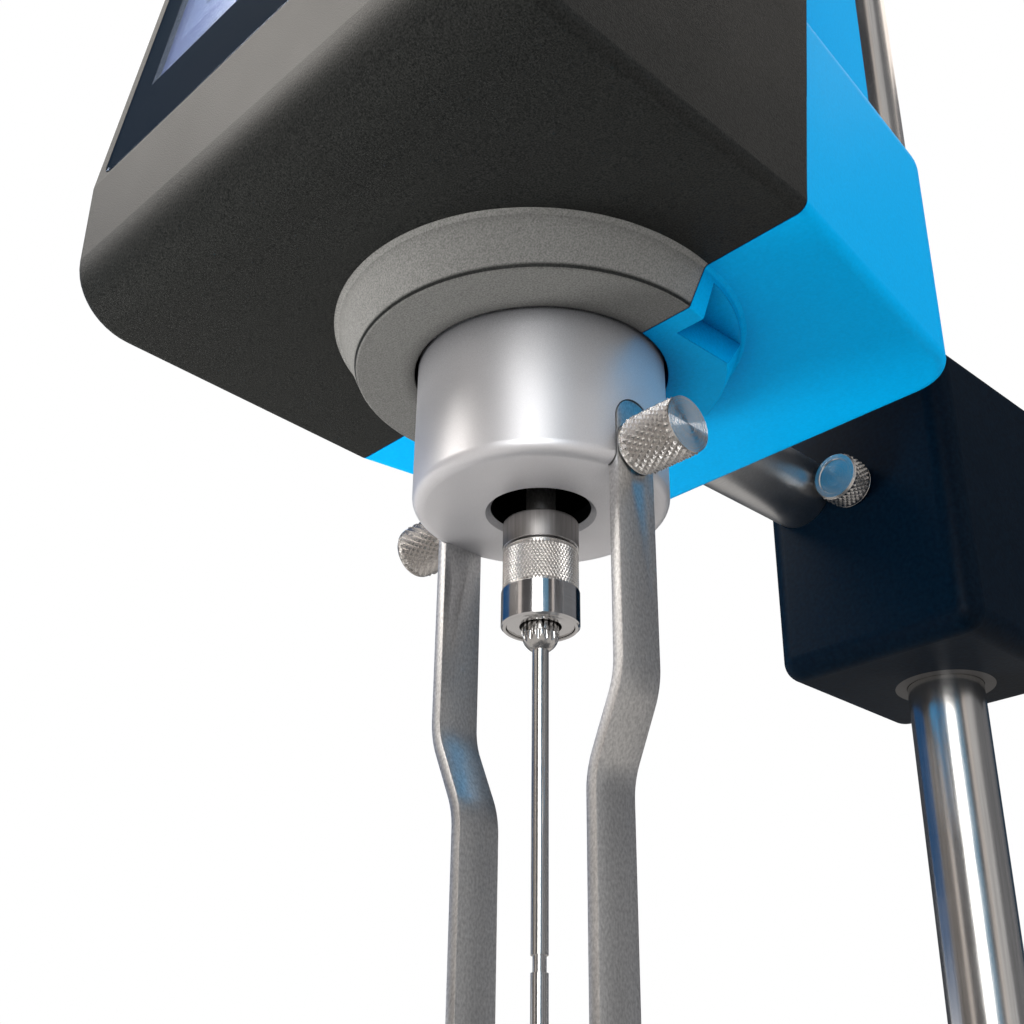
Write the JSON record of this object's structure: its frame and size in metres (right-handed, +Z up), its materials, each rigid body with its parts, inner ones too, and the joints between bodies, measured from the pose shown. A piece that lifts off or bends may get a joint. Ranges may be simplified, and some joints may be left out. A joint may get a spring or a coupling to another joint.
{
  "type": "rotational viscometer",
  "caption": "Bench viscometer: a motor head with a screen turns a disc spindle inside a cranked guard leg, and slides on a column that stands on a levelled base.",
  "frame": {"origin": "On the bench, under the middle of the base's rectangle.", "axes": "+Z up along the column, -Y towards the person reading the screen, +X to that person's right."},
  "size_m": [0.28, 0.3, 0.5365],
  "materials": {
    "housing_dark": "fine textured dark grey moulding",
    "housing_blue": "satin bright blue moulding",
    "cover_glass": "dark tinted cover glass",
    "display": "lit display face",
    "anodised": "satin clear anodised",
    "stainless": "ground stainless steel",
    "polished_steel": "turned and polished stainless steel",
    "plain_aluminium": "machined aluminium",
    "zinc_screw": "zinc plated steel",
    "board_green": "circuit board",
    "black_plastic": "black moulding",
    "brass": "turned brass",
    "spring_bronze": "spring bronze strip",
    "block_paint": "navy black powder coat",
    "base_paint": "dark grey powder coat",
    "pad_rubber": "black rubber",
    "vial": "tinted level vial"
  },
  "bodies": {
    "stand": {"base_casting": "base_paint", "column": "stainless", "column_bolt": "zinc_screw", "column_cap": "black_plastic"},
    "foot_front_left": {"levelling_foot_front_left": "zinc_screw", "foot_pad_front_left": "pad_rubber"},
    "foot_front_right": {"levelling_foot_front_right": "zinc_screw", "foot_pad_front_right": "pad_rubber"},
    "foot_rear": {"levelling_foot_rear": "zinc_screw", "foot_pad_rear": "pad_rubber"},
    "carriage": {"clamp_block": "block_paint", "column_bush": "black_plastic"},
    "column_clamp_screw": {"column_clamp_screw": "polished_steel"},
    "rod_lock_screw": {"rod_lock_screw": "stainless"},
    "head": {"front_shell": "housing_dark", "rear_shell": "housing_blue", "screen_glass": "cover_glass", "display_panel": "display", "collar": "anodised", "guard_leg": "stainless", "shell_screws": "zinc_screw", "chassis_plate": "plain_aluminium", "plate_pillars": "plain_aluminium", "bearing_housing": "plain_aluminium", "lower_bearing": "polished_steel", "upper_bearing": "polished_steel", "motor": "zinc_screw", "motor_plate": "plain_aluminium", "main_board": "board_green", "board_standoffs": "brass", "encoder_board": "board_green", "encoder_reader": "black_plastic", "rod_bracket": "plain_aluminium", "rod_nut": "zinc_screw", "head_rod": "plain_aluminium", "chassis_screws": "zinc_screw", "socket_plate": "plain_aluminium", "power_inlet": "black_plastic", "probe_socket": "stainless", "usb_port": "stainless", "data_port": "stainless", "switch_frame": "black_plastic", "level_body": "plain_aluminium", "level_vial": "vial"},
    "drive": {"motor_shaft": "stainless", "drive_cup": "plain_aluminium", "torsion_spring": "spring_bronze"},
    "rotor": {"drive_shaft": "stainless", "encoder_disc": "plain_aluminium", "coupling_body": "stainless", "spindle_hub": "stainless", "spindle_shaft": "stainless", "spindle_disc": "stainless"},
    "sleeve": {"coupling_sleeve": "stainless"},
    "guard_screw_left": {"guard_screw_left": "stainless"},
    "guard_screw_right": {"guard_screw_right": "stainless"},
    "rocker": {"switch_rocker": "black_plastic"}
  },
  "joints": [
    {"name": "height_slide", "type": "slide", "parent": "stand", "child": "carriage", "axis": [0, 0, 1], "range_m": [-0.03, 0.15]},
    {"name": "head_roll", "type": "hinge", "parent": "carriage", "child": "head", "pos_m": [-0.017, 0.081, 0.299], "axis": [0, 1, 0], "range_deg": [-4, 4]},
    {"name": "drive_spin", "type": "hinge", "parent": "head", "child": "drive", "pos_m": [0, -0.047, 0.335], "axis": [0, 0, 1], "continuous": true},
    {"name": "spring_twist", "type": "hinge", "parent": "drive", "child": "rotor", "pos_m": [0, -0.047, 0.285], "axis": [0, 0, 1], "range_deg": [-80, 80], "stiffness_Nm_per_rad": 0.0005},
    {"name": "sleeve_pull", "type": "slide", "parent": "rotor", "child": "sleeve", "axis": [0, 0, -1], "range_m": [0, 0.002], "stiffness_N_per_m": 300, "springref_m": -0.002},
    {"name": "guard_screw_left_turn", "type": "hinge", "parent": "head", "child": "guard_screw_left", "pos_m": [-0.03, -0.047, 0.249], "axis": [-1, 0, 0], "range_deg": [0, 1080]},
    {"name": "guard_screw_right_turn", "type": "hinge", "parent": "head", "child": "guard_screw_right", "pos_m": [0.03, -0.047, 0.249], "axis": [1, 0, 0], "range_deg": [0, 1080]},
    {"name": "column_clamp_turn", "type": "hinge", "parent": "carriage", "child": "column_clamp_screw", "pos_m": [0, 0.065, 0.295], "axis": [0, -1, 0], "range_deg": [0, 360]},
    {"name": "rod_lock_turn", "type": "hinge", "parent": "carriage", "child": "rod_lock_screw", "pos_m": [-0.017, 0.081, 0.333], "axis": [0, 0, 1], "range_deg": [0, 360]},
    {"name": "power_rocker", "type": "hinge", "parent": "head", "child": "rocker", "pos_m": [0.014, 0.0195, 0.404], "axis": [0, 0, 1], "range_deg": [-16, 0]},
    {"name": "foot_front_left_turn", "type": "hinge", "parent": "stand", "child": "foot_front_left", "pos_m": [-0.118, -0.128, 0.005], "axis": [0, 0, 1], "range_deg": [-360, 360]},
    {"name": "foot_front_right_turn", "type": "hinge", "parent": "stand", "child": "foot_front_right", "pos_m": [0.118, -0.128, 0.005], "axis": [0, 0, 1], "range_deg": [-360, 360]},
    {"name": "foot_rear_turn", "type": "hinge", "parent": "stand", "child": "foot_rear", "pos_m": [0, 0.135, 0.005], "axis": [0, 0, 1], "range_deg": [-360, 360]}
  ]
}
